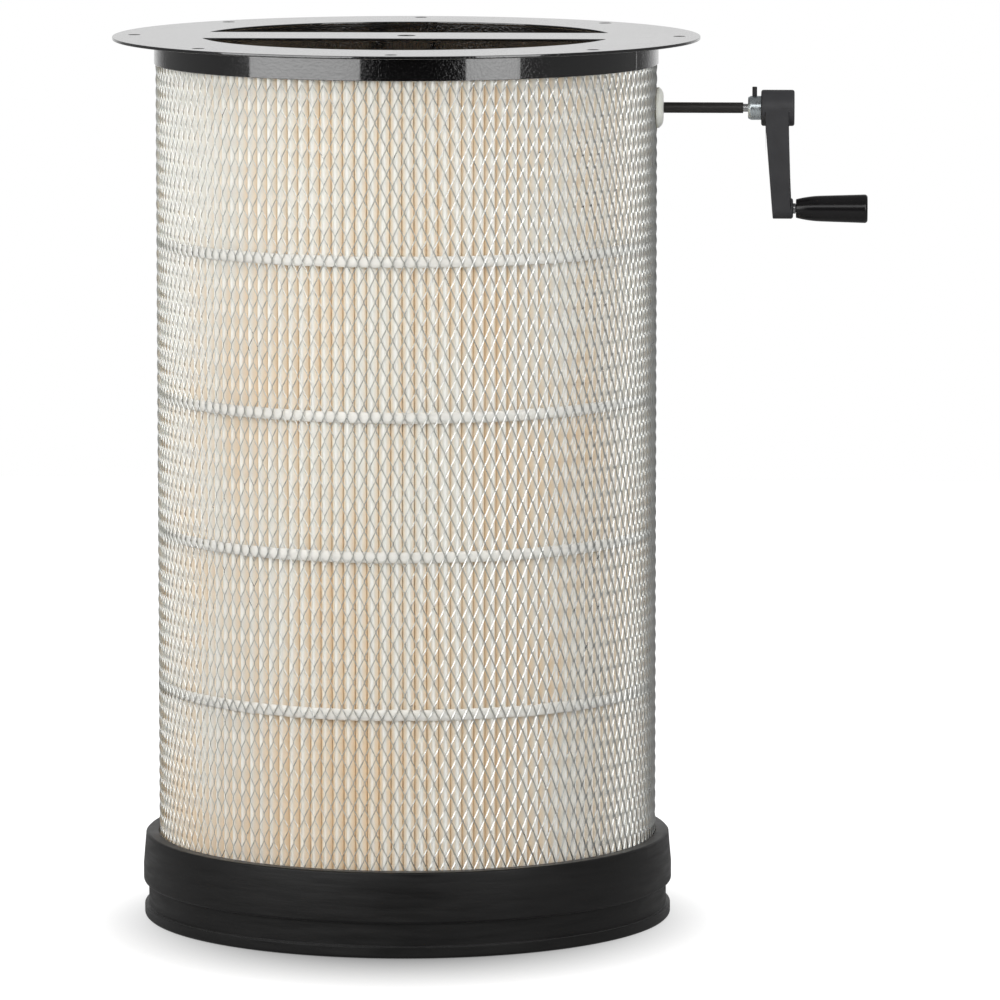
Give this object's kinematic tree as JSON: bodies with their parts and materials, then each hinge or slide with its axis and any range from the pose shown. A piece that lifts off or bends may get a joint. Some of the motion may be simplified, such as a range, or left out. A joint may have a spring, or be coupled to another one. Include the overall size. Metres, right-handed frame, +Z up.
{
  "type": "pleated dust filter cartridge",
  "caption": "Round pleated filter cartridge with a bolted inlet flange, metal mesh jacket, rubber collar and a side crank that turns cleaning paddles inside.",
  "frame": {"origin": "on the cartridge's axis, in the plane of the rubber collar's rim, at the mouth of its bore", "axes": "+Z up along the cartridge's axis to the inlet flange, +X towards the crank, +Y away from the picture's viewer"},
  "size_m": [0.753, 0.586, 0.885],
  "materials": {
    "black_paint": "gloss black paint, slight orange peel",
    "potting": "cast resin",
    "pleat_paper": "cream filter paper, soft",
    "hot_melt_glue": "white hot-melt glue",
    "zinc_sheet": "bright zinc coating",
    "collar_rubber": "moulded matt black rubber with faint flow marks",
    "white_nylon": "natural white nylon, slightly translucent",
    "bright_steel": "turned bright steel",
    "zinc_plate": "bright zinc plating",
    "black_oxide": "black oxide",
    "black_sleeve": "satin black sleeve",
    "arm_plastic": "glass-filled nylon, fine matt grain",
    "grip_plastic": "polished black thermoset",
    "pin_steel": "blackened steel",
    "flap_rubber": "smooth black rubber sheet"
  },
  "bodies": {
    "cartridge": {"inlet_flange": "black_paint", "upper_outer_band": "black_paint", "upper_inner_band": "black_paint", "potting_ring": "potting", "pleated_media": "pleat_paper", "expanded_metal_jacket": "zinc_sheet", "rubber_collar": "collar_rubber", "lower_inner_band": "black_paint", "lower_steady_bar": "black_paint", "steady_bush": "white_nylon", "gear_bracket": "black_paint", "bracket_shaft_bush": "white_nylon", "bracket_thrust_bush": "white_nylon", "wall_bush": "white_nylon", "wall_bush_nut": "white_nylon", "glue_bead_1": "hot_melt_glue", "glue_bead_2": "hot_melt_glue", "glue_bead_3": "hot_melt_glue", "glue_bead_4": "hot_melt_glue"},
    "crank": {"drive_shaft": "bright_steel", "bevel_pinion": "bright_steel", "pinion_screw": "black_oxide", "shaft_sleeve": "black_sleeve", "hub_insert": "zinc_plate", "hub_grub_screw": "black_oxide", "crank_arm": "arm_plastic", "handle_pin": "pin_steel"},
    "grip": {"handle_grip": "grip_plastic"},
    "paddles": {"paddle_shaft": "bright_steel", "bevel_gear": "bright_steel", "gear_screw": "black_oxide", "arm_screws": "black_oxide", "paddle_bolts": "zinc_plate", "paddle_nuts": "zinc_plate", "thrust_collar": "bright_steel", "retaining_ring": "bright_steel", "lower_paddle_arm": "zinc_plate", "middle_paddle_arm": "zinc_plate", "upper_paddle_arm": "zinc_plate", "right_paddle_rail": "zinc_plate", "right_rubber_flap": "flap_rubber", "right_clamp_strip": "zinc_plate", "left_paddle_rail": "zinc_plate", "left_rubber_flap": "flap_rubber", "left_clamp_strip": "zinc_plate"}
  },
  "joints": [
    {"name": "paddle_spin", "type": "hinge", "parent": "cartridge", "child": "paddles", "pos_m": [0, 0, 0.435], "axis": [0, 0, 1], "continuous": true},
    {"name": "crank_turn", "type": "hinge", "parent": "cartridge", "child": "crank", "pos_m": [0.2564, 0, 0.814], "axis": [1, 0, 0], "continuous": true},
    {"name": "grip_spin", "type": "hinge", "parent": "crank", "child": "grip", "pos_m": [0.425, 0, 0.7136], "axis": [1, 0, 0], "continuous": true}
  ],
  "couplings": [
    {"joint": "crank_turn", "follows": "paddle_spin", "ratio": 1}
  ]
}
